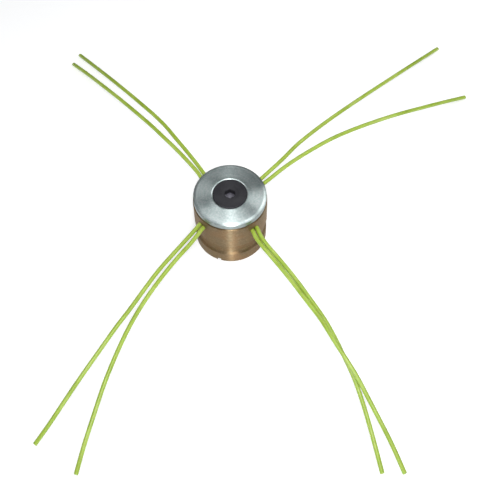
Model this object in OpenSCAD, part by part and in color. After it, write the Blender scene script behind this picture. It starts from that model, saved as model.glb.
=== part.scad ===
// Fixed line trimmer head: a turned hub with a line chamber, a clamp disc, its centre bolt
// and four lengths of nylon line, each running in at one corner and out at the next.
// The hub stands on its base, with the turning axis on Z and the base at z = 0.

/* [Hub] */
// Diameter of the barrel that holds the lines
barrel_d = 61.6; // [60:0.2:70]
// Height of the barrel, from the neck to its top edge
barrel_h = 27; // [25:0.5:36]
// Radius of the rounded lower edge of the barrel
barrel_round = 2; // [0.5:0.1:3]
// Chamfer around the barrel's top edge
barrel_chamfer = 0.6; // [0.2:0.1:1]
// Diameter of the lower flange
flange_d = 61; // [58:0.2:70]
// Height of the lower flange
flange_h = 13; // [8:0.5:18]
// Chamfer on both edges of the flange
flange_chamfer = 0.8; // [0.3:0.1:1.5]
// Smallest diameter of the neck between flange and barrel
neck_d = 55; // [50:0.5:57]
// Height of the neck, from the flange to the barrel
neck_h = 12.5; // [8:0.5:16]
// Straight part of the neck, right below the barrel
neck_straight = 3; // [1:0.5:5]
// Outer diameter of the turned relief in the base
relief_d = 50; // [40:0.5:51]
// Inner diameter of the relief
relief_inner_d = 28; // [26:0.5:32]
// Depth of the relief
relief_depth = 1; // [0.5:0.1:2]
// Width of the locking notch in the flange's lower edge
notch_w = 3.2; // [2:0.1:3.8]
// Height of the locking notch
notch_h = 3; // [2:0.1:3.8]
// Depth of the locking notch, inwards from the flange's side
notch_depth = 3.6; // [2:0.1:4]

/* [Line chamber] */
// Outer diameter of the ring-shaped chamber
chamber_d = 46; // [45:0.5:50]
// Diameter of the boss in the middle of the chamber
boss_d = 22; // [19:0.5:22.4]
// How far the boss's top stays below the barrel's top edge
boss_drop = 1.5; // [0.5:0.1:3]
// Distance from the barrel's top edge down to the middle of the lines
line_drop = 9.5; // [7:0.5:12]

/* [Line] */
// Diameter of the nylon line
line_d = 3.5; // [2.4:0.1:3.8]
// Distance between the middles of the two lines in one window
line_pitch = 4.4; // [4:0.1:5]
// Space around the lines in a window
line_clear = 0.3; // [0.1:0.05:0.5]
// Distance from the axis to the middle of a line, along its run past the boss
run_offset = 13; // [12.8:0.1:13.5]
// Radius of the bend between that run and the window
bend_r = 12; // [9:0.5:13]

/* [Clamp disc] */
// Diameter of the clamp disc
cap_d = 60.4; // [55:0.2:66]
// Thickness of the disc
cap_t = 6.7; // [5.5:0.1:9]
// Fall of the disc's face from the bolt's ring out to the bevel
cap_crown = 1; // [0.2:0.1:1.5]
// Width of the bevel around its top edge
cap_bevel_w = 2.4; // [0.5:0.1:4]
// Height of that bevel
cap_bevel_h = 1; // [0.5:0.1:2]
// Chamfer on its lower edge and on the plug
cap_chamfer = 0.4; // [0.2:0.1:0.6]
// Gap between the disc and the barrel's top edge
cap_gap = 0.8; // [0.3:0.1:0.95]
// Width of the sloping ring around the bolt's head
ring_w = 0.8; // [0.4:0.1:4]
// Depth of that ring's slope
ring_drop = 0.3; // [0.2:0.1:1]
// Play between the plug below the disc and the chamber's walls
plug_clear = 0.25; // [0.1:0.05:0.5]
// Space between the boss's top and the disc above it
boss_gap = 0.5; // [0.2:0.1:0.9]

/* [Centre bolt] */
// Diameter of the bolt's low head
head_d = 28.4; // [24:0.2:34]
// Thickness of the head
head_t = 4.5; // [3.6:0.1:4.8]
// Height of the head above the disc's face
head_proud = 0.5; // [0:0.1:1]
// Chamfer around the head
head_chamfer = 0.5; // [0.2:0.1:1]
// Play between the head and its seat
head_clear = 0.15; // [0.1:0.05:0.5]
// Diameter of the shank
bolt_d = 12; // [10:0.5:14]
// Length of the shank below the head
bolt_len = 30; // [24:0.5:32]
// Play of the shank in the disc's hole
bolt_clear = 0.25; // [0.1:0.05:0.5]
// Gap that stands for the thread between the shank and the hub
thread_gap = 0.05; // [0.02:0.01:0.1]
// Width across flats of the hex socket
hex_af = 8; // [6:0.5:8.5]
// Depth of the hex socket
hex_depth = 6; // [4:0.5:8]
// Chamfer at the socket's mouth
hex_chamfer = 0.5; // [0.2:0.1:1]
// Turn of the bolt about its axis, in degrees
bolt_turn = 4; // [0:1:59]

/* [Arbor bush] */
// Diameter of the drive shaft's thread
arbor_d = 10; // [8:0.5:12]
// Length of the bush
bush_len = 18; // [12:0.5:19]
// Diameter of the bush's body
bush_d = 16; // [15:0.5:18]
// Diameter of the bush's collar
collar_d = 24; // [20:0.5:25]
// Thickness of the collar
collar_t = 3; // [2:0.5:5]
// Chamfer at the mouth of the thread and on the bush's edges
bush_chamfer = 0.8; // [0.3:0.1:1.2]
// How far the collar's face stays inside the base
bush_recess = 0.3; // [0:0.1:1]
// Gap of the press fit around the bush
press_gap = 0.02; // [0.01:0.01:0.05]

/* [Hidden] */
$fn = 96;

// Overlap of a cutting solid past the face that it cuts
over = 1;
// Overlap of two cutting solids that share a face
touch = 0.01;
// Depth of a blind hole past the end of what it holds
hole_extra = 2;
// How much wider than the shaft's thread the hole above the bush is
shaft_room = 1;
// Chamfer at the end of the bolt's shank
shank_chamfer = 1;
// Depth of the drilled cone below the hex socket, and how far its edge stays inside the socket
drill_h = 1.5;
drill_margin = 0.2;
// Angle of the notch about Z, and of the first window
notch_angle = -105;
first_window = 45;

// Heights, from the base upwards
neck_top = flange_h + neck_h;
body_h = neck_top + barrel_h;
line_z = body_h - line_drop;
chamber_floor = line_z - line_d / 2;
plug_face = line_z + line_d / 2;
boss_top = body_h - boss_drop;
cap_bottom = body_h + cap_gap;
cap_top = cap_bottom + cap_t;
head_top = cap_top + head_proud;
head_seat = head_top - head_t;
bolt_end = head_seat - bolt_len;
bolt_hole_end = bolt_end - hole_extra;
bush_top = bush_recess + bush_len;
bush_hole_end = bush_top + hole_extra;

// Radii of what fits together
chamber_r = chamber_d / 2;
boss_r = boss_d / 2;
seat_r = head_d / 2 + head_clear;
barrel_r = barrel_d / 2;
flange_r = flange_d / 2;
neck_r = neck_d / 2;

// Size of a window for a pair of lines
window_w = line_pitch + line_d + 2 * line_clear;
window_h = line_d + 2 * line_clear;

// Angle of a line's bend inside the hub, and the steps that it is drawn in
bend_angle = 45;
bend_steps = 4;

// Sides of a line's tube, and the longest step between its rings, free and in its bends
tube_sides = 8;
ring_step = 10;
bend_step = 4;

// Steps of the round ends of a window, of the barrel's round edge and of the neck's hollow
slot_steps = 8;
edge_steps = 6;
hollow_steps = 6;

// Routes of the eight free ends, from the window outwards. Line 1 crosses over line 2.
LINE_1_START = [
    [-24, -30, 43], [-29.5, -39.5, 42.5], [-36, -49, 42], [-48, -68, 40.5], [-58, -85.5, 38],
    [-65.5, -100.5, 35.5], [-72, -116, 32.5], [-78, -133.5, 29], [-84.5, -155, 23.5],
    [-90, -178, 17], [-96, -204, 8.5], [-99.5, -222, 2]];
LINE_1_END = [
    [23, -29, 43], [30, -38.5, 43], [37.5, -47, 42.5], [53, -65, 41], [67, -82.5, 39.5],
    [79.5, -98, 37.5], [90, -113.5, 35], [97, -123, 32.5], [108.5, -138.5, 27],
    [117, -151.5, 21.5], [126, -166, 16.5], [136.5, -183, 10], [148, -204, 2]];
LINE_2_START = [
    [27, -27.5, 43], [33, -36, 42.5], [40.5, -44.5, 42], [56, -62.5, 40.5], [70, -80, 37.5],
    [82, -95, 33.5], [91.5, -110, 30], [97, -120.5, 28.5], [106.5, -138, 23.5],
    [114, -156, 18.5], [121, -175.5, 12.5], [131, -205, 2]];
LINE_2_END = [
    [29, 26, 43], [44, 42.5, 42.5], [54, 52.5, 41.5], [67, 64.5, 40], [83.5, 78.5, 38],
    [102, 92, 35], [122, 105.5, 31], [143, 119.5, 25.5], [165, 133, 19.5], [191, 150, 10.5],
    [213, 164.5, 2]];
LINE_3_START = [
    [26, 30.5, 43], [42, 51.5, 42], [53.5, 68, 41], [63, 79.5, 40], [81, 100, 37.5],
    [97, 118, 34], [116, 139, 29.5], [137, 162.5, 23.5], [160.5, 190, 15], [189, 225, 2]];
LINE_3_END = [
    [-27.5, 33.5, 43], [-41.5, 52, 42], [-55, 69, 40.5], [-63, 79.5, 39], [-77, 95.5, 36],
    [-89.5, 108.5, 33], [-102.5, 122, 29.5], [-122, 142.5, 23], [-148, 170.5, 12],
    [-166.5, 191.5, 2]];
LINE_4_START = [
    [-29.5, 29.5, 43], [-41, 43, 42.5], [-52.5, 56, 41], [-64, 68, 39.5], [-77, 82, 37],
    [-89.5, 94.5, 34.5], [-111, 116.5, 28.5], [-130.5, 136.5, 21.5], [-153.5, 161, 11],
    [-171, 179.5, 2]];
LINE_4_END = [
    [-26.5, -25.5, 43], [-40.5, -46.5, 42], [-52.5, -64.5, 40.5], [-63.5, -83.5, 38],
    [-71.5, -97.5, 35.5], [-81, -112.5, 32], [-92, -131.5, 27.5], [-105, -153, 21],
    [-112.5, -165.5, 16.5], [-125.5, -187.5, 8.5], [-135, -201.5, 2]];

// Points of an arc about a centre, from one angle to another
function arc(centre, r, from, to, steps) =
    [for (i = [0:steps]) let (a = from + (to - from) * i / steps) centre + r * [cos(a), sin(a)]];

// Outline of a slot with round ends, lying along X
function slot_outline(w, h) = concat(
    arc([(w - h) / 2, 0], h / 2, -90, 90, slot_steps),
    arc([(h - w) / 2, 0], h / 2, 90, 270, slot_steps));

function turned(p, a) = [p[0] * cos(a) - p[1] * sin(a), p[0] * sin(a) + p[1] * cos(a), p[2]];
function reversed(list) = [for (i = [len(list) - 1:-1:0]) list[i]];
function unit(v) = v / norm(v);

// One line's way through the hub, past the front of the boss, from the left window to the
// right one. Each side is a straight run, a bend of 45 degrees and the way out.
function half_run() =
    let (side = line_pitch / 2 * sqrt(2),
         corner = run_offset - side,
         start = corner - bend_r * tan(bend_angle / 2),
         bend = arc([start, -run_offset - bend_r], bend_r, 90, 90 - bend_angle, bend_steps),
         out = [for (r = [chamber_r, barrel_r]) [(r * sqrt(2) - side) / 2, -(r * sqrt(2) + side) / 2]])
    [for (p = concat(bend, out)) [p[0], p[1], line_z]];
function mirrored(list) = [for (p = list) [-p[0], p[1], p[2]]];
function inner_run(turn) =
    [for (p = concat(reversed(mirrored(half_run())), half_run())) turned(p, turn)];

function route(start, turn, end) = concat(reversed(start), inner_run(turn), end);

// Smooth curve through the points of a route
function direction(p, i) =
    i == 0 ? unit(p[1] - p[0]) :
    i == len(p) - 1 ? unit(p[i] - p[i - 1]) :
    let (a = p[i] - p[i - 1], b = p[i + 1] - p[i])
    unit(a * norm(b) / norm(a) + b * norm(a) / norm(b));
function blend(p, i, t) =
    let (h = norm(p[i + 1] - p[i]))
    (2 * pow(t, 3) - 3 * t * t + 1) * p[i] + (pow(t, 3) - 2 * t * t + t) * h * direction(p, i)
    + (3 * t * t - 2 * pow(t, 3)) * p[i + 1] + (pow(t, 3) - t * t) * h * direction(p, i + 1);
function steps_on(p, i) =
    let (h = norm(p[i + 1] - p[i]), inside = norm([p[i][0], p[i][1]]) < barrel_r)
    max(1, round(h / (inside ? bend_step : ring_step)));
function curve(p) = concat(
    [for (i = [0:len(p) - 2]) for (k = [0:steps_on(p, i) - 1]) blend(p, i, k / steps_on(p, i))],
    [p[len(p) - 1]]);

// Ring of corners around point i of a curve, with flat sides up and down
function ring(c, i) =
    let (along = unit(c[min(i + 1, len(c) - 1)] - c[max(i - 1, 0)]),
         side = unit(cross([0, 0, 1], along)),
         up = cross(along, side),
         r = line_d / 2 / cos(180 / tube_sides))
    [for (k = [0:tube_sides - 1]) let (a = (k + 0.5) * 360 / tube_sides)
        c[i] + r * (cos(a) * side + sin(a) * up)];

module tube(p) {
    c = curve(p);
    n = len(c);
    m = tube_sides;
    corners = [for (i = [0:n - 1]) each ring(c, i)];
    walls = [for (i = [0:n - 2]) for (k = [0:m - 1])
        let (a = i * m + k, b = i * m + (k + 1) % m)
        each [[a, a + m, b + m], [a, b + m, b]]];
    ends = [[for (k = [0:m - 1]) k], [for (k = [m - 1:-1:0]) (n - 1) * m + k]];
    polyhedron(corners, concat(walls, ends), convexity = 10);
}

// Outside of the hub: flange, hollow neck and barrel, as one turned outline
module hub_outline() {
    flange_top_r = flange_r - flange_chamfer;
    hollow_h = neck_h - neck_straight;
    hollow = [for (i = [0:hollow_steps]) let (a = 90 * i / hollow_steps)
        [flange_top_r - (flange_top_r - neck_r) * sin(a), flange_h + hollow_h * (1 - cos(a))]];
    polygon(concat(
        [[0, 0], [flange_top_r, 0], [flange_r, flange_chamfer], [flange_r, flange_h - flange_chamfer]],
        hollow,
        [[neck_r, neck_top]],
        arc([barrel_r - barrel_round, neck_top + barrel_round], barrel_round, -90, 0, edge_steps),
        [[barrel_r, body_h - barrel_chamfer], [barrel_r - barrel_chamfer, body_h], [0, body_h]]));
}

// Ring-shaped cut between two radii, from one height to another
module ring_cut(r_in, r_out, from, to) {
    rotate_extrude() polygon([[r_in, from], [r_out, from], [r_out, to], [r_in, to]]);
}

module window() {
    translate([(boss_r + chamber_r) / 2, 0, line_z])
        rotate([90, 0, 90])
            linear_extrude(barrel_r) polygon(slot_outline(window_w, window_h));
}

module body() {
    color([0.49, 0.41, 0.31])
    difference() {
        rotate_extrude() hub_outline();
        ring_cut(boss_r, chamber_r, chamber_floor, body_h + over);
        translate([0, 0, boss_top]) cylinder(r = boss_r + over, h = boss_drop + over);
        for (i = [0:3]) rotate(first_window + 90 * i) window();
        translate([0, 0, bolt_hole_end])
            cylinder(d = bolt_d + 2 * thread_gap, h = body_h - bolt_hole_end);
        translate([0, 0, -over])
            cylinder(d = collar_d + 2 * press_gap, h = over + bush_recess + collar_t);
        translate([0, 0, -over]) cylinder(d = bush_d + 2 * press_gap, h = over + bush_top);
        cylinder(d = arbor_d + shaft_room, h = bush_hole_end);
        ring_cut(relief_inner_d / 2, relief_d / 2, -over, relief_depth);
        rotate(notch_angle) translate([flange_r - notch_depth, -notch_w / 2, -over])
            cube([notch_depth + over, notch_w, notch_h + over]);
    }
}

module cap() {
    cap_r = cap_d / 2;
    plug_r = chamber_r - plug_clear;
    recess_r = boss_r + plug_clear;
    hole_r = bolt_d / 2 + bolt_clear;
    color([0.72, 0.76, 0.75])
    rotate_extrude() polygon([
        [hole_r, boss_top + boss_gap], [hole_r, head_seat], [seat_r, head_seat],
        [seat_r, cap_top - ring_drop], [seat_r + ring_w, cap_top],
        [cap_r - cap_bevel_w, cap_top - cap_crown],
        [cap_r, cap_top - cap_crown - cap_bevel_h],
        [cap_r, cap_bottom + cap_chamfer], [cap_r - cap_chamfer, cap_bottom],
        [plug_r, cap_bottom], [plug_r, plug_face + cap_chamfer], [plug_r - cap_chamfer, plug_face],
        [recess_r, plug_face], [recess_r, boss_top + boss_gap]]);
}

module centre_bolt() {
    shank_r = bolt_d / 2;
    head_r = head_d / 2;
    hex_r = hex_af / 2 / cos(30);
    color([0.17, 0.16, 0.18])
    rotate(bolt_turn) difference() {
        rotate_extrude() polygon([
            [0, bolt_end], [shank_r - shank_chamfer, bolt_end],
            [shank_r, bolt_end + shank_chamfer], [shank_r, head_seat],
            [head_r, head_seat], [head_r, head_top - head_chamfer],
            [head_r - head_chamfer, head_top], [0, head_top]]);
        translate([0, 0, head_top - hex_depth])
            rotate(30) cylinder(r = hex_r, h = hex_depth + over, $fn = 6);
        translate([0, 0, head_top - hex_depth - drill_h])
            cylinder(r1 = 0, r2 = hex_af / 2 - drill_margin, h = drill_h + touch);
        translate([0, 0, head_top - hex_chamfer])
            cylinder(r1 = hex_af / 2, r2 = hex_af / 2 + 2 * hex_chamfer, h = 2 * hex_chamfer);
    }
}

module arbor_bush() {
    bore_r = arbor_d / 2;
    color([0.62, 0.63, 0.65])
    rotate_extrude() polygon([
        [bore_r + bush_chamfer, bush_recess], [collar_d / 2, bush_recess],
        [collar_d / 2, bush_recess + collar_t], [bush_d / 2, bush_recess + collar_t],
        [bush_d / 2, bush_top - bush_chamfer], [bush_d / 2 - bush_chamfer, bush_top],
        [bore_r, bush_top], [bore_r, bush_recess + bush_chamfer]]);
}

module line_1() {
    color([0.62, 0.76, 0.28]) tube(route(LINE_1_START, 0, LINE_1_END));
}

module line_2() {
    color([0.62, 0.76, 0.28]) tube(route(LINE_2_START, 90, LINE_2_END));
}

module line_3() {
    color([0.62, 0.76, 0.28]) tube(route(LINE_3_START, 180, LINE_3_END));
}

module line_4() {
    color([0.62, 0.76, 0.28]) tube(route(LINE_4_START, 270, LINE_4_END));
}

body();
cap();
centre_bolt();
arbor_bush();
line_1();
line_2();
line_3();
line_4();
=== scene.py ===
"""Looks of the fixed line trimmer head: the turned hub, the clamp disc with its bolt, the bush
below and the eight free ends of nylon line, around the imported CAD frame."""

import math

import bmesh
import bpy
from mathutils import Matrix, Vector

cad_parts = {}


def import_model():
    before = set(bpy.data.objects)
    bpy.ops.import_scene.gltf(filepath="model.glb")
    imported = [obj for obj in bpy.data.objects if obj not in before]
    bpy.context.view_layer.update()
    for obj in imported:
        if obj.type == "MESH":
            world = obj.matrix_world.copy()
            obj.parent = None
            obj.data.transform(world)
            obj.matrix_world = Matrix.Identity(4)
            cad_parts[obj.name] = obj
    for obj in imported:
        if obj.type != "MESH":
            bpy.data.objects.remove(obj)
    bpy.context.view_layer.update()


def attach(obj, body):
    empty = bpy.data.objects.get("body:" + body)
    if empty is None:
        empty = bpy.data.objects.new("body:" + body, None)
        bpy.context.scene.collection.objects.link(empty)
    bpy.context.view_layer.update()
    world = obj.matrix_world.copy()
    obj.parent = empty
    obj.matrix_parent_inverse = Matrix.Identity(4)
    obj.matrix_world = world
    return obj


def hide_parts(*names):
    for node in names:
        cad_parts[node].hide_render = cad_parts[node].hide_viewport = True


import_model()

MM = 0.001

# Sizes of the part's source, in mm
BARREL_R = 30.8
BARREL_H = 27.0
BARREL_ROUND = 2.0
BARREL_CHAMFER = 0.6
FLANGE_R = 30.5
FLANGE_H = 13.0
FLANGE_CHAMFER = 0.8
NECK_R = 27.5
NECK_H = 12.5
NECK_STRAIGHT = 3.0
RELIEF_R = 25.0
RELIEF_INNER_R = 14.0
RELIEF_DEPTH = 1.0
NOTCH_W = 3.2
NOTCH_H = 3.0
NOTCH_DEPTH = 3.6
NOTCH_ANGLE = -105.0

CHAMBER_R = 23.0
BOSS_R = 11.0
BOSS_DROP = 1.5
LINE_DROP = 9.5
LINE_D = 3.5
LINE_PITCH = 4.4
LINE_CLEAR = 0.3
RUN_OFFSET = 13.0
BEND_R = 12.0
BEND_ANGLE = 45.0
BEND_STEPS = 4
FIRST_WINDOW = 45.0

CAP_R = 30.2
CAP_T = 6.7
CAP_CROWN = 1.0
CAP_BEVEL_W = 2.4
CAP_BEVEL_H = 1.0
CAP_CHAMFER = 0.4
CAP_GAP = 0.8
RING_W = 0.8
RING_DROP = 0.3
PLUG_CLEAR = 0.25
BOSS_GAP = 0.5

HEAD_R = 14.2
HEAD_T = 4.5
HEAD_PROUD = 0.5
HEAD_CHAMFER = 0.5
HEAD_CLEAR = 0.15
BOLT_R = 6.0
BOLT_LEN = 30.0
BOLT_CLEAR = 0.25
THREAD_GAP = 0.05
SHANK_CHAMFER = 1.0
HEX_AF = 8.0
HEX_DEPTH = 6.0
HEX_CHAMFER = 0.5
DRILL_H = 1.5
DRILL_MARGIN = 0.2
BOLT_TURN = 4.0

ARBOR_R = 5.0
SHAFT_ROOM = 0.5
BUSH_R = 8.0
BUSH_LEN = 18.0
BUSH_CHAMFER = 0.8
BUSH_RECESS = 0.3
COLLAR_R = 12.0
COLLAR_T = 3.0
PRESS_GAP = 0.02
HOLE_EXTRA = 2.0
TOUCH = 0.01

# Heights that follow from them
NECK_TOP = FLANGE_H + NECK_H
BODY_H = NECK_TOP + BARREL_H
LINE_Z = BODY_H - LINE_DROP
CHAMBER_FLOOR = LINE_Z - LINE_D / 2
PLUG_FACE = LINE_Z + LINE_D / 2
BOSS_TOP = BODY_H - BOSS_DROP
CAP_BOTTOM = BODY_H + CAP_GAP
CAP_TOP = CAP_BOTTOM + CAP_T
HEAD_TOP = CAP_TOP + HEAD_PROUD
HEAD_SEAT = HEAD_TOP - HEAD_T
BOLT_END = HEAD_SEAT - BOLT_LEN
BOLT_HOLE_END = BOLT_END - HOLE_EXTRA
COLLAR_TOP = BUSH_RECESS + COLLAR_T
BUSH_TOP = BUSH_RECESS + BUSH_LEN
BUSH_HOLE_END = BUSH_TOP + HOLE_EXTRA
WINDOW_W = LINE_PITCH + LINE_D + 2 * LINE_CLEAR
WINDOW_H = LINE_D + 2 * LINE_CLEAR

# Details that only the scene has, in mm
CRISP, FINE, EDGE, RIM, LIP = 0.1, 0.15, 0.2, 0.25, 0.3  # radii of broken edges
RING_ROUND = 1.2
COVE_STEPS = 12
WINDOW_START_R = 17.0
WINDOW_FLARE = 0.5
NOTCH_BREAK = 0.3
NOTCH_FLARE_W = 1.4
NOTCH_FLARE_H = 0.8
PAST = 1.0  # how far a cutter reaches past the surface
THREAD_PITCH = 1.25
THREAD_DEPTH = 0.68
THREAD_STEPS = 10  # rows in one turn

# Line: steps along it in mm, and its cut ends as (distance to the tip, share of the radius, lean)
RUN_STEP = 1.0
STRAND_STEP = 2.5
CUT_END = ((1.0, 1.0, 0.0), (0.35, 1.0, 0.35), (0.1, 0.96, 0.35), (0.0, 0.86, 0.35))
UV_PER_M = 20

# Routes of the free ends, from the window outwards, as in the part's source, in mm
FREE_ENDS = {
    "line_1": (
        [(-24, -30, 43), (-29.5, -39.5, 42.5), (-36, -49, 42), (-48, -68, 40.5), (-58, -85.5, 38),
         (-65.5, -100.5, 35.5), (-72, -116, 32.5), (-78, -133.5, 29), (-84.5, -155, 23.5),
         (-90, -178, 17), (-96, -204, 8.5), (-99.5, -222, 2)],
        [(23, -29, 43), (30, -38.5, 43), (37.5, -47, 42.5), (53, -65, 41), (67, -82.5, 39.5),
         (79.5, -98, 37.5), (90, -113.5, 35), (97, -123, 32.5), (108.5, -138.5, 27),
         (117, -151.5, 21.5), (126, -166, 16.5), (136.5, -183, 10), (148, -204, 2)]),
    "line_2": (
        [(27, -27.5, 43), (33, -36, 42.5), (40.5, -44.5, 42), (56, -62.5, 40.5), (70, -80, 37.5),
         (82, -95, 33.5), (91.5, -110, 30), (97, -120.5, 28.5), (106.5, -138, 23.5),
         (114, -156, 18.5), (121, -175.5, 12.5), (131, -205, 2)],
        [(29, 26, 43), (44, 42.5, 42.5), (54, 52.5, 41.5), (67, 64.5, 40), (83.5, 78.5, 38),
         (102, 92, 35), (122, 105.5, 31), (143, 119.5, 25.5), (165, 133, 19.5), (191, 150, 10.5),
         (213, 164.5, 2)]),
    "line_3": (
        [(26, 30.5, 43), (42, 51.5, 42), (53.5, 68, 41), (63, 79.5, 40), (81, 100, 37.5),
         (97, 118, 34), (116, 139, 29.5), (137, 162.5, 23.5), (160.5, 190, 15), (189, 225, 2)],
        [(-27.5, 33.5, 43), (-41.5, 52, 42), (-55, 69, 40.5), (-63, 79.5, 39), (-77, 95.5, 36),
         (-89.5, 108.5, 33), (-102.5, 122, 29.5), (-122, 142.5, 23), (-148, 170.5, 12),
         (-166.5, 191.5, 2)]),
    "line_4": (
        [(-29.5, 29.5, 43), (-41, 43, 42.5), (-52.5, 56, 41), (-64, 68, 39.5), (-77, 82, 37),
         (-89.5, 94.5, 34.5), (-111, 116.5, 28.5), (-130.5, 136.5, 21.5), (-153.5, 161, 11),
         (-171, 179.5, 2)],
        [(-26.5, -25.5, 43), (-40.5, -46.5, 42), (-52.5, -64.5, 40.5), (-63.5, -83.5, 38),
         (-71.5, -97.5, 35.5), (-81, -112.5, 32), (-92, -131.5, 27.5), (-105, -153, 21),
         (-112.5, -165.5, 16.5), (-125.5, -187.5, 8.5), (-135, -201.5, 2)]),
}


def unit(v):
    return v / v.length


def turned(p, degrees):
    """A point turned about the axis."""
    c, s = math.cos(math.radians(degrees)), math.sin(math.radians(degrees))
    return Vector((p.x * c - p.y * s, p.x * s + p.y * c, p.z))


def new_object(name, mesh):
    obj = bpy.data.objects.new(name, mesh)
    bpy.context.scene.collection.objects.link(obj)
    return obj


def mesh_from(name, points, faces, smooth=True):
    mesh = bpy.data.meshes.new(name)
    mesh.from_pydata([tuple(Vector(p) * MM) for p in points], [], faces)
    if smooth:
        mesh.shade_smooth()
    return mesh


def half_run():
    """The right half of a line's way past the boss: straight, a bend of 45 degrees, then out."""
    side = LINE_PITCH / 2 * math.sqrt(2)
    corner = RUN_OFFSET - side
    start = corner - BEND_R * math.tan(math.radians(BEND_ANGLE / 2))
    points = []
    for i in range(BEND_STEPS + 1):
        a = math.radians(90 - BEND_ANGLE * i / BEND_STEPS)
        points.append((start + BEND_R * math.cos(a), -RUN_OFFSET - BEND_R + BEND_R * math.sin(a)))
    for r in (CHAMBER_R, BARREL_R):
        points.append(((r * math.sqrt(2) - side) / 2, -(r * math.sqrt(2) + side) / 2))
    return [Vector((x, y, LINE_Z)) for x, y in points]


def route(start, turn, end):
    """All points of a line from tip to tip, and the numbers of the two where the chamber ends."""
    half = half_run()
    inner = [Vector((-p.x, p.y, p.z)) for p in reversed(half)] + half
    points = [Vector(p) for p in reversed(start)]
    first = len(points) + 1
    points += [turned(p, turn) for p in inner]
    last = len(points) - 2
    return points + [Vector(p) for p in end], first, last


def direction(p, i):
    """Direction of the route p at its point i, where the shorter neighbour counts for more."""
    if i == 0:
        return unit(p[1] - p[0])
    if i == len(p) - 1:
        return unit(p[i] - p[i - 1])
    a, b = p[i] - p[i - 1], p[i + 1] - p[i]
    return unit(a * (b.length / a.length) + b * (a.length / b.length))


def curve(p, first, last, step):
    """Smooth curve (Hermite) through points first to last of a route, in short steps."""
    out = []
    for i in range(first, last):
        h = (p[i + 1] - p[i]).length
        n = max(2, round(h / step))
        for k in range(n):
            t = k / n
            leave = (t**3 - 2 * t * t + t) * h * direction(p, i)
            arrive = (t**3 - t * t) * h * direction(p, i + 1)
            out.append((2 * t**3 - 3 * t * t + 1) * p[i] + leave
                       + (3 * t * t - 2 * t**3) * p[i + 1] + arrive)
    return out + [p[last].copy()]


def length_of(points):
    return sum((b - a).length for a, b in zip(points, points[1:]))


def tube(name, path, sides=20, cut=False):
    """Round line along a path. Where it was cut off, its end leans and its edge is pinched."""
    rings, along_at, travelled = [], [], 0.0
    for i, p in enumerate(path):
        along = unit(path[min(i + 1, len(path) - 1)] - path[max(i - 1, 0)])
        side = unit(Vector((0, 0, 1)).cross(along))
        up = along.cross(side)
        travelled += (p - path[i - 1]).length if i else 0
        rings.append((p, along, side, up, LINE_D / 2, 0.0))
        along_at.append(travelled)
    if cut:
        p, along, side, up, r, _ = rings.pop()
        along_at.pop()
        for back, size, lean in CUT_END:
            rings.append((p - along * back, along, side, up, r * size, lean))
            along_at.append(travelled - back)
    points, faces = [], []
    for p, along, side, up, r, lean in rings:
        for k in range(sides):
            a = 2 * math.pi * k / sides - math.pi / 2
            points.append(p + r * (math.cos(a) * side + math.sin(a) * (up - lean * along)))
    for i in range(len(rings) - 1):
        for k in range(sides):
            a, b = i * sides + k, i * sides + (k + 1) % sides
            faces.append((a, b, b + sides, a + sides))
    faces.append(tuple(range(sides - 1, -1, -1)))
    faces.append(tuple((len(rings) - 1) * sides + k for k in range(sides)))
    mesh = mesh_from(name, points, faces)
    uv = mesh.uv_layers.new(name="UVMap")
    for face in mesh.polygons:
        around = [mesh.loops[c].vertex_index % sides for c in face.loop_indices]
        for corner in face.loop_indices:
            v = mesh.loops[corner].vertex_index
            k = v % sides
            # the last strip closes the ring, so its far side is at the end and not at 0
            if k == 0 and sides - 1 in around:
                k = sides
            uv.data[corner].uv = (k / sides, along_at[v // sides] * MM * UV_PER_M)
    mesh.set_sharp_from_angle(angle=math.radians(50))
    return new_object(name, mesh)


def rounded(profile, steps=5):
    """Points of a profile of (radius, height, edge radius) with each edge rounded."""
    out = []
    n = len(profile)
    for i, (r, z, edge) in enumerate(profile):
        here = Vector((r, z))
        if not edge:
            out.append(here)
            continue
        before = Vector(profile[i - 1][:2]) - here
        after = Vector(profile[(i + 1) % n][:2]) - here
        half = before.angle(after) / 2
        reach = min(edge / math.tan(half), before.length * 0.45, after.length * 0.45)
        size = reach * math.tan(half)
        a, b = here + unit(before) * reach, here + unit(after) * reach
        centre = here + unit(unit(before) + unit(after)) * math.hypot(reach, size)
        for k in range(steps + 1):
            # on the arc between the two tangent points
            out.append(centre + unit(a.lerp(b, k / steps) - centre) * size)
    return out


def lathe(name, profile, segments=192, closed=True):
    """Solid of revolution. A profile that starts and ends on the axis is closed by its poles."""
    points, faces, rows = [], [], []
    for p in rounded(profile):
        if p.x < 1e-6:
            rows.append([len(points)])
            points.append((0, 0, p.y))
        else:
            rows.append(list(range(len(points), len(points) + segments)))
            for k in range(segments):
                a = 2 * math.pi * k / segments
                points.append((p.x * math.cos(a), p.x * math.sin(a), p.y))
    pairs = list(zip(rows, rows[1:])) + ([(rows[-1], rows[0])] if closed else [])
    for a, b in pairs:
        for k in range(segments):
            m = (k + 1) % segments
            if len(a) == 1:
                faces.append((a[0], b[m], b[k]))
            elif len(b) == 1:
                faces.append((a[k], a[m], b[0]))
            else:
                faces.append((a[k], a[m], b[m], b[k]))
    mesh = mesh_from(name, points, faces)
    mesh.validate()
    return new_object(name, mesh)


def flat_normals(obj, angle=40):
    """Faces stay flat up to their rounded edges."""
    obj.data.set_sharp_from_angle(angle=math.radians(angle))
    modifier = obj.modifiers.new("normals", "WEIGHTED_NORMAL")
    modifier.keep_sharp = True
    modifier.weight = 100


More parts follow.
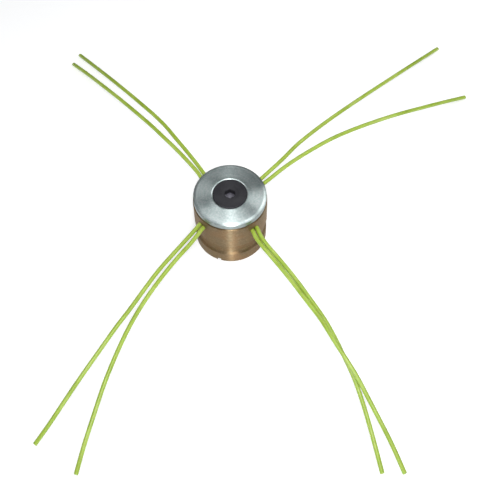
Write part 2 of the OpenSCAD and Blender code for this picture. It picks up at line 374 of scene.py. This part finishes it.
def lofted(name, outlines):
    """Closed solid through outlines that have the same number of points."""
    n = len(outlines[0])
    points = [p for outline in outlines for p in outline]
    faces = []
    for i in range(len(outlines) - 1):
        for k in range(n):
            a, b = i * n + k, i * n + (k + 1) % n
            faces.append((a, b, b + n, a + n))
    faces.append(tuple(range(n - 1, -1, -1)))
    faces.append(tuple((len(outlines) - 1) * n + k for k in range(n)))
    mesh = mesh_from(name, points, faces, smooth=False)
    fixed = bmesh.new()
    fixed.from_mesh(mesh)
    bmesh.ops.recalc_face_normals(fixed, faces=fixed.faces)
    fixed.to_mesh(mesh)
    fixed.free()
    return new_object(name, mesh)


def cut_out(obj, *cutters):
    """Cuts the solids out of obj and removes them."""
    for cutter in cutters:
        modifier = obj.modifiers.new("cut", "BOOLEAN")
        modifier.operation = "DIFFERENCE"
        modifier.solver = "EXACT"
        modifier.object = cutter
    graph = bpy.context.evaluated_depsgraph_get()
    made = bpy.data.meshes.new_from_object(obj.evaluated_get(graph))
    obj.modifiers.clear()
    obj.data = made
    obj.data.shade_smooth()
    for cutter in cutters:
        bpy.data.objects.remove(cutter)


def slot_outline(w, h, grow=0.0, steps=10):
    """Outline of a slot with round ends, lying along its first axis."""
    w, h = w + 2 * grow, h + 2 * grow
    points = []
    for sign in (1, -1):
        for i in range(steps + 1):
            a = math.radians(-90 + 180 * i / steps)
            x, y = (w - h) / 2 + h / 2 * math.cos(a), h / 2 * math.sin(a)
            points.append((sign * x, sign * y))
    return points


def window_cutter(angle):
    """Slot for a pair of lines, with its mouth broken where the line leaves."""
    outlines = []
    for x, grow in ((WINDOW_START_R, 0), (BARREL_R - WINDOW_FLARE, 0),
                    (BARREL_R + PAST, PAST + WINDOW_FLARE)):
        outlines.append([turned(Vector((x, y, LINE_Z + z)), angle)
                         for y, z in slot_outline(WINDOW_W, WINDOW_H, grow)])
    return lofted("window_cutter", outlines)


def notch_cutter():
    """Slot in the lower rim, with its mouth broken."""
    outlines = []
    for x, w, h in ((FLANGE_R - NOTCH_DEPTH, NOTCH_W, NOTCH_H),
                    (FLANGE_R - NOTCH_BREAK, NOTCH_W, NOTCH_H),
                    (FLANGE_R + PAST, NOTCH_W + NOTCH_FLARE_W, NOTCH_H + NOTCH_FLARE_H)):
        outline = [(x, -w / 2, -PAST), (x, w / 2, -PAST), (x, w / 2, h), (x, -w / 2, h)]
        outlines.append([turned(Vector(p), NOTCH_ANGLE) for p in outline])
    return lofted("notch_cutter", outlines)


def hub():
    """Flange, cove, neck and barrel outside; the chamber with its boss and the bores inside."""
    rim_r = FLANGE_R - FLANGE_CHAMFER
    cove_h = NECK_H - NECK_STRAIGHT
    cove = []
    for i in range(1, COVE_STEPS + 1):
        a = math.radians(90 * i / COVE_STEPS)
        cove.append((rim_r - (rim_r - NECK_R) * math.sin(a), FLANGE_H + cove_h * (1 - math.cos(a)), 0))
    shaft_r, bolt_hole_r = ARBOR_R + SHAFT_ROOM, BOLT_R + THREAD_GAP
    bush_hole_r, collar_hole_r = BUSH_R + PRESS_GAP, COLLAR_R + PRESS_GAP
    profile = [
        (0, BUSH_HOLE_END, 0), (shaft_r, BUSH_HOLE_END, 0), (shaft_r, BUSH_TOP, 0),
        (bush_hole_r, BUSH_TOP, 0), (bush_hole_r, COLLAR_TOP, 0),
        (collar_hole_r, COLLAR_TOP, 0), (collar_hole_r, 0, EDGE),
        (RELIEF_INNER_R, 0, FINE), (RELIEF_INNER_R, RELIEF_DEPTH, 0),
        (RELIEF_R, RELIEF_DEPTH, 0), (RELIEF_R, 0, FINE),
        (rim_r, 0, RIM), (FLANGE_R, FLANGE_CHAMFER, RIM),
        (FLANGE_R, FLANGE_H - FLANGE_CHAMFER, LIP), (rim_r, FLANGE_H, EDGE),
        *cove, (NECK_R, NECK_TOP, LIP), (BARREL_R, NECK_TOP, BARREL_ROUND),
        (BARREL_R, BODY_H - BARREL_CHAMFER, EDGE), (BARREL_R - BARREL_CHAMFER, BODY_H, EDGE),
        (CHAMBER_R, BODY_H, EDGE), (CHAMBER_R, CHAMBER_FLOOR, 0),
        (BOSS_R, CHAMBER_FLOOR, 0), (BOSS_R, BOSS_TOP, LIP),
        (bolt_hole_r, BOSS_TOP, LIP), (bolt_hole_r, BOLT_HOLE_END, 0), (0, BOLT_HOLE_END, 0)]
    obj = lathe("hub", profile, closed=False)
    cut_out(obj, *[window_cutter(FIRST_WINDOW + 90 * i) for i in range(4)], notch_cutter())
    flat_normals(obj)
    return obj


def disc():
    """Crowned plate with a bevelled rim, a seat for the bolt's head and the plug below."""
    plug_r, recess_r, hole_r = CHAMBER_R - PLUG_CLEAR, BOSS_R + PLUG_CLEAR, BOLT_R + BOLT_CLEAR
    seat_r = HEAD_R + HEAD_CLEAR
    recess_top = BOSS_TOP + BOSS_GAP
    bevel_top = CAP_TOP - CAP_CROWN
    profile = [
        (hole_r, recess_top, 0), (hole_r, HEAD_SEAT, 0), (seat_r, HEAD_SEAT, 0),
        (seat_r, CAP_TOP - RING_DROP, FINE), (seat_r + RING_W, CAP_TOP, RING_ROUND),
        (CAP_R - CAP_BEVEL_W, bevel_top, RIM), (CAP_R, bevel_top - CAP_BEVEL_H, RIM),
        (CAP_R, CAP_BOTTOM + CAP_CHAMFER, CRISP), (CAP_R - CAP_CHAMFER, CAP_BOTTOM, CRISP),
        (plug_r, CAP_BOTTOM, 0), (plug_r, PLUG_FACE + CAP_CHAMFER, 0),
        (plug_r - CAP_CHAMFER, PLUG_FACE, 0), (recess_r, PLUG_FACE, 0), (recess_r, recess_top, 0)]
    obj = lathe("clamp_disc", profile[::-1])
    flat_normals(obj)
    return obj


def circle(r, z, sides=48):
    steps = [2 * math.pi * k / sides for k in range(sides)]
    return [(r * math.cos(a), r * math.sin(a), z) for a in steps]


def hexagon(r, z, turn):
    return [turned(Vector((r * math.cos(k * math.pi / 3), r * math.sin(k * math.pi / 3), z)), turn)
            for k in range(6)]


def bolt():
    """Low wide head with a hex socket, drilled to a cone at its floor, and the shank."""
    profile = [
        (0, BOLT_END, 0), (BOLT_R - SHANK_CHAMFER, BOLT_END, 0),
        (BOLT_R, BOLT_END + SHANK_CHAMFER, 0), (BOLT_R, HEAD_SEAT, 0), (HEAD_R, HEAD_SEAT, CRISP),
        (HEAD_R, HEAD_TOP - HEAD_CHAMFER, EDGE), (HEAD_R - HEAD_CHAMFER, HEAD_TOP, EDGE),
        (0, HEAD_TOP, 0)]
    obj = lathe("clamp_bolt", profile, segments=144, closed=False)
    flat_r = HEX_AF / 2
    corner_r = flat_r / math.cos(math.pi / 6)
    turn = 30 + BOLT_TURN
    floor_z = HEAD_TOP - HEX_DEPTH
    cut_out(
        obj,
        lofted("hex_cutter", [hexagon(corner_r, floor_z, turn),
                              hexagon(corner_r, HEAD_TOP + PAST, turn)]),
        lofted("drill_cutter", [circle(DRILL_MARGIN, floor_z - DRILL_H),
                                circle(flat_r - DRILL_MARGIN, floor_z + TOUCH)]),
        lofted("chamfer_cutter", [circle(flat_r, HEAD_TOP - HEX_CHAMFER),
                                  circle(flat_r + HEX_CHAMFER + PAST, HEAD_TOP + PAST)]))
    flat_normals(obj, 25)
    return obj


def bush(segments=96):
    """The pressed bush with the left hand thread for the drive shaft in its bore."""
    outside = rounded([
        (ARBOR_R + BUSH_CHAMFER, BUSH_RECESS, CRISP), (COLLAR_R, BUSH_RECESS, EDGE),
        (COLLAR_R, COLLAR_TOP, 0), (BUSH_R, COLLAR_TOP, 0), (BUSH_R, BUSH_TOP - BUSH_CHAMFER, 0),
        (BUSH_R - BUSH_CHAMFER, BUSH_TOP, 0), (ARBOR_R, BUSH_TOP, 0)])
    rows = [[p] * segments for p in outside]
    thread_end = BUSH_RECESS + BUSH_CHAMFER
    thread_len = BUSH_TOP - thread_end
    n = int(thread_len / THREAD_PITCH * THREAD_STEPS)
    for i in range(1, n):
        z = BUSH_TOP - thread_len * i / n
        fade = max(0.0, min(1.0, (z - thread_end) / THREAD_PITCH, (BUSH_TOP - z) / THREAD_PITCH))
        row = []
        for k in range(segments):
            # left hand: the groove climbs clockwise as seen from above
            phase = (z / THREAD_PITCH + k / segments) % 1.0
            tooth = min(1.0, max(0.0, 1.35 - abs(phase - 0.5) * 3.2))
            row.append(Vector((ARBOR_R - THREAD_DEPTH * tooth * fade, z)))
        rows.append(row)
    rows.append([Vector((ARBOR_R, thread_end))] * segments)
    points, faces = [], []
    for row in rows:
        for k, p in enumerate(row):
            a = 2 * math.pi * k / segments
            points.append((p.x * math.cos(a), p.x * math.sin(a), p.y))
    for i in range(len(rows)):
        for k in range(segments):
            here, above = i * segments, (i + 1) % len(rows) * segments
            m = (k + 1) % segments
            faces.append((here + k, here + m, above + m, above + k))
    obj = new_object("shaft_bush", mesh_from("shaft_bush", points, faces))
    flat_normals(obj)
    return obj


def principled(name, **values):
    made = bpy.data.materials.new(name)
    made.use_nodes = True
    shader = made.node_tree.nodes["Principled BSDF"]
    for socket, value in values.items():
        shader.inputs[socket.replace("_", " ")].default_value = value
    return made, made.node_tree, shader


def add(tree, kind, values=None, **settings):
    """A new node. Its values are plain or come from another node's output."""
    made = tree.nodes.new("ShaderNode" + kind)
    for key, value in settings.items():
        setattr(made, key, value)
    for key, value in (values or {}).items():
        if isinstance(value, bpy.types.NodeSocket):
            tree.links.new(value, made.inputs[key])
        else:
            made.inputs[key].default_value = value
    return made


def maths(tree, operation, a, b):
    return add(tree, "Math", {0: a, 1: b}, operation=operation).outputs[0]


def vectors(tree, operation, values):
    return add(tree, "VectorMath", values, operation=operation).outputs


def noise(tree, at, scale, detail, **settings):
    return add(tree, "TexNoise", {"Vector": at, "Scale": scale, "Detail": detail}, **settings)


def mapped(tree, value, low, high, to_low, to_high):
    return add(tree, "MapRange", {"Value": value, "From Min": low, "From Max": high,
                                  "To Min": to_low, "To Max": to_high}).outputs[0]


def mixed(tree, share, a, b):
    return add(tree, "Mix", {"Factor": share, "A": a, "B": b}, data_type="RGBA").outputs["Result"]


def ramp(tree, fac, *stops):
    made = add(tree, "ValToRGB", {"Fac": fac})
    elements = made.color_ramp.elements
    while len(elements) < len(stops):
        elements.new(0.5)
    for element, (place, colour) in zip(elements, stops):
        element.position = place
        element.color = (*colour, 1) if isinstance(colour, tuple) else (colour, colour, colour, 1)
    return made.outputs["Color"]


def lathe_coordinates(tree, drift=0.0006):
    """Coordinates that change with radius and height only, apart from a small drift around Z.

    The place, radius and height that they come from follow them."""
    place = add(tree, "TexCoord").outputs["Object"]
    flat = vectors(tree, "MULTIPLY", {0: place, 1: (1, 1, 0)})[0]
    radius = vectors(tree, "LENGTH", {0: flat})["Value"]
    around = vectors(tree, "NORMALIZE", {0: flat})[0]
    height = add(tree, "SeparateXYZ", {0: place}).outputs["Z"]
    rings = add(tree, "CombineXYZ", {2: maths(tree, "ADD", radius, height)}).outputs[0]
    drifted = vectors(tree, "SCALE", {0: around, "Scale": drift})[0]
    return vectors(tree, "ADD", {0: rings, 1: drifted})[0], place, radius, height


def turned_metal(name, dark, light, stain, rough, anisotropy, bump,
                 below=None, within=None, fleck=None, **values):
    """Metal with turning marks in rings, patchy tone and a long highlight across the marks.

    below = (low, high, share) scales the colour under a height, blending between low and high,
    and only within a radius if one is given. It paints light into the colour: painted shade where
    share is under 1, a painted highlight where it is over 1.
    fleck = (colour, share) adds small grains of another colour."""
    made, tree, shader = principled(
        name, Anisotropic=anisotropy, Anisotropic_Rotation=0.25, **values)
    rings, place, radius, height = lathe_coordinates(tree)
    fine = noise(tree, rings, 2600, 3)
    fine.inputs["Roughness"].default_value = 0.6
    broad = noise(tree, rings, 420, 2)
    patch = noise(tree, place, 95, 5)
    patch.inputs["Roughness"].default_value = 0.62
    marks = maths(tree, "ADD", fine.outputs["Fac"], broad.outputs["Fac"])
    marks = maths(tree, "MULTIPLY", marks, 0.5)
    colour = mixed(tree, ramp(tree, patch.outputs["Fac"], (0.42, 0.0), (0.72, 1.0)),
                   ramp(tree, marks, (0.35, dark), (0.65, light)), (*stain, 1))
    if fleck:
        grain_colour, grain_share = fleck
        grain = noise(tree, place, 700, 3).outputs["Fac"]
        colour = mixed(tree, ramp(tree, grain, (0.50, 0.0), (0.60, grain_share)),
                       colour, (*grain_colour, 1))
    # painted light: the colour under a height is scaled, as painted shade or a painted highlight
    if below:
        low, high, share = below
        share = mapped(tree, height, low, high, share, 1.0)
        if within:
            share = mapped(tree, radius, within, within * 1.04, share, 1.0)
        colour = vectors(tree, "SCALE", {0: colour, "Scale": share})[0]
    tree.links.new(colour, shader.inputs["Base Color"])
    tree.links.new(ramp(tree, marks, (0.3, rough[0]), (0.7, rough[1])), shader.inputs["Roughness"])
    tangent = add(tree, "Tangent", direction_type="RADIAL", axis="Z")
    tree.links.new(tangent.outputs[0], shader.inputs["Tangent"])
    relief = add(tree, "Bump", {"Height": marks, "Strength": bump, "Distance": 0.00012})
    tree.links.new(relief.outputs[0], shader.inputs["Normal"])
    return made


def nylon():
    """Lime line: satin, slightly see-through, with fine ribs from the die along it."""
    made, tree, shader = principled(
        "lime_nylon", Roughness=0.38, IOR=1.53, Subsurface_Weight=0.35, Subsurface_Scale=0.002,
        Coat_Weight=0.15, Coat_Roughness=0.25)
    shader.inputs["Subsurface Radius"].default_value = (0.6, 1.0, 0.25)
    along = add(tree, "UVMap", uv_map="UVMap").outputs[0]
    ribs_at = add(tree, "Mapping", {"Vector": along, "Scale": (26, 1.2, 1)}).outputs[0]
    ribs = noise(tree, ribs_at, 1.0, 2, noise_dimensions="2D").outputs["Fac"]
    cloud = noise(tree, add(tree, "TexCoord").outputs["Object"], 60, 3).outputs["Fac"]
    tone = maths(tree, "MULTIPLY", maths(tree, "ADD", ribs, cloud), 0.5)
    colour = ramp(tree, tone, (0.36, (0.305, 0.425, 0.03)), (0.52, (0.395, 0.535, 0.06)),
                  (0.66, (0.49, 0.62, 0.125)))
    tree.links.new(colour, shader.inputs["Base Color"])
    relief = add(tree, "Bump", {"Height": ribs, "Strength": 0.35, "Distance": 0.0002})
    tree.links.new(relief.outputs[0], shader.inputs["Normal"])
    return made


def dress(obj, nodes, look):
    obj.data.materials.clear()
    obj.data.materials.append(look)
    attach(obj, "root")
    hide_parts(*nodes)


# The hub's colour is as it looks in the photo. The disc's side wall and bevel are darker there, and
# the floor of the bolt's socket lighter, than their metal alone would be. Both are painted light:
# the disc's wall and bevel carry painted shade, a dark reflection, and the socket's floor a painted
# highlight.
hub_metal = turned_metal(
    "bronze_hub", dark=(0.18, 0.122, 0.058), light=(0.25, 0.173, 0.088), stain=(0.27, 0.150, 0.062),
    rough=(0.35, 0.43), anisotropy=1.0, bump=0.5, fleck=((0.36, 0.26, 0.15), 0.32),
    Metallic=0.8, IOR=1.8)
disc_metal = turned_metal(
    "turned_disc", dark=(0.62, 0.73, 0.71), light=(0.78, 0.88, 0.87), stain=(0.50, 0.61, 0.60),
    # painted shade: the colour falls to 0.42 of itself below 57.8 mm, on the disc's side wall and
    # lower bevel, a painted dark reflection
    rough=(0.29, 0.37), anisotropy=0.80, bump=0.4, below=(0.0578, 0.0586, 0.42),
    fleck=((0.98, 1.0, 1.0), 0.36), Metallic=1.0)
bolt_metal = turned_metal(
    "black_bolt", dark=(0.022, 0.021, 0.026), light=(0.034, 0.033, 0.039),
    stain=(0.045, 0.045, 0.05), rough=(0.42, 0.55), anisotropy=0.3, bump=0.3,
    # painted highlight: below 55 mm and within 4.7 mm of the axis, the socket's floor is made five
    # times lighter, a painted glint
    below=(0.0550, 0.0560, 5.0), within=0.0047, Metallic=0.5, IOR=1.6)
bush_metal = turned_metal(
    "plated_bush", dark=(0.55, 0.56, 0.58), light=(0.68, 0.69, 0.71), stain=(0.48, 0.5, 0.5),
    rough=(0.25, 0.38), anisotropy=0.5, bump=0.4, Metallic=1.0)
line_look = nylon()

dress(hub(), ["body"], hub_metal)
dress(disc(), ["cap"], disc_metal)
dress(bolt(), ["centre_bolt"], bolt_metal)
dress(bush(), ["arbor_bush"], bush_metal)

for number, (name, (start, end)) in enumerate(FREE_ENDS.items()):
    points, first, last = route(start, 90 * number, end)
    inner = tube(f"run_{number + 1}", curve(points, first, last, RUN_STEP))
    dress(inner, [name], line_look)
    backwards = points[::-1]
    for letter, way, inside in (
            ("a", backwards, len(points) - 1 - first), ("b", points, last)):
        path = curve(way, inside, len(way) - 1, STRAND_STEP)
        strand = tube(f"strand_{number + 1}{letter}", path, cut=True)
        dress(strand, [name], line_look)
        free = length_of(curve(way, inside + 1, len(way) - 1, STRAND_STEP)) * MM


def floor(half_side=6000, drop=0.1, glow=0.45):
    """Pale floor, white to the camera and in reflections, that keeps the object's shadow."""
    made, tree, shader = principled("pale_floor", Roughness=0.6)
    grain = add(tree, "TexNoise", {"Vector": add(tree, "TexCoord").outputs["Object"], "Scale": 4.0})
    tree.links.new(ramp(tree, grain.outputs["Fac"], (0.3, 0.80), (0.7, 0.83)),
                   shader.inputs["Base Color"])
    rays = add(tree, "LightPath").outputs
    seen = maths(tree, "MAXIMUM", rays["Is Camera Ray"], rays["Is Glossy Ray"])
    seen = maths(tree, "MAXIMUM", seen, rays["Is Transmission Ray"])
    light = add(tree, "Emission", {"Strength": maths(tree, "MULTIPLY", seen, glow)})
    both = add(tree, "AddShader", {0: shader.outputs[0], 1: light.outputs[0]})
    tree.links.new(both.outputs[0], tree.nodes["Material Output"].inputs["Surface"])
    corners = [(x * half_side, y * half_side, -drop) for x, y in ((-1, -1), (1, -1), (1, 1), (-1, 1))]
    mesh = mesh_from("floor", corners, [(0, 1, 2, 3)], smooth=False)
    mesh.materials.append(made)
    new_object("floor", mesh)


def world(front=0.42, back=0.06):
    """White to the camera. To the object it is a room that gets dimmer towards the back."""
    made = bpy.data.worlds.new("studio")
    made.use_nodes = True
    tree = made.node_tree
    background = tree.nodes["Background"]
    background.inputs["Color"].default_value = (0.93, 0.96, 1.0, 1)
    seen = add(tree, "LightPath").outputs["Is Camera Ray"]
    toward = add(tree, "SeparateXYZ", {0: add(tree, "TexCoord").outputs["Generated"]}).outputs["Y"]
    room = mapped(tree, toward, -0.2, 0.6, front, back)
    strength = add(tree, "Mix", {"Factor": seen, "A": room, "B": 1.0}, data_type="FLOAT")
    tree.links.new(strength.outputs["Result"], background.inputs["Strength"])
    bpy.context.scene.world = made


def lamp(name, place, target, width, depth, watts, colour=(1, 1, 1)):
    data = bpy.data.lights.new(name, "AREA")
    data.shape = "RECTANGLE"
    data.size, data.size_y, data.energy, data.color = width, depth, watts, colour
    obj = new_object(name, data)
    obj.location = place
    obj.rotation_euler = (Vector(target) - Vector(place)).to_track_quat("-Z", "Y").to_euler()
    obj.visible_camera = False


def camera():
    """The photo's view."""
    data = bpy.data.cameras.new("camera")
    data.lens = 60.9
    data.sensor_width = 36
    data.clip_start = 0.01
    obj = new_object("camera", data)
    obj.location = (0.04296, -0.37782, 0.6405)
    obj.rotation_euler = (math.radians(29.4), 0, math.radians(4))
    bpy.context.scene.camera = obj


floor()
world()
lamp("key", (0.06, -0.40, 0.74), (0, 0, 0.04), width=0.22, depth=0.22, watts=3.6)
# low and cool, for the hub's streak: the hub mirrors it and the disc hardly does
lamp("front", (0.07, -1.0, 0.05), (0, 0, 0.03), width=0.13, depth=0.08, watts=2.0,
     colour=(0.68, 0.86, 1.0))
# close above the axis, for the front of the disc and not its back
lamp("overhead", (0.02, 0.03, 0.42), (0.01, 0, 0), width=0.42, depth=0.08, watts=0.31)
lamp("right", (0.30, 0.24, 0.45), (0, 0, 0.05), width=0.30, depth=0.30, watts=0.6)
lamp("left", (-0.17, 0.28, 0.42), (0, 0, 0.05), width=0.14, depth=0.16, watts=0.04)
camera()
bpy.context.scene.view_settings.view_transform = "Standard"

bpy.context.view_layer.update()
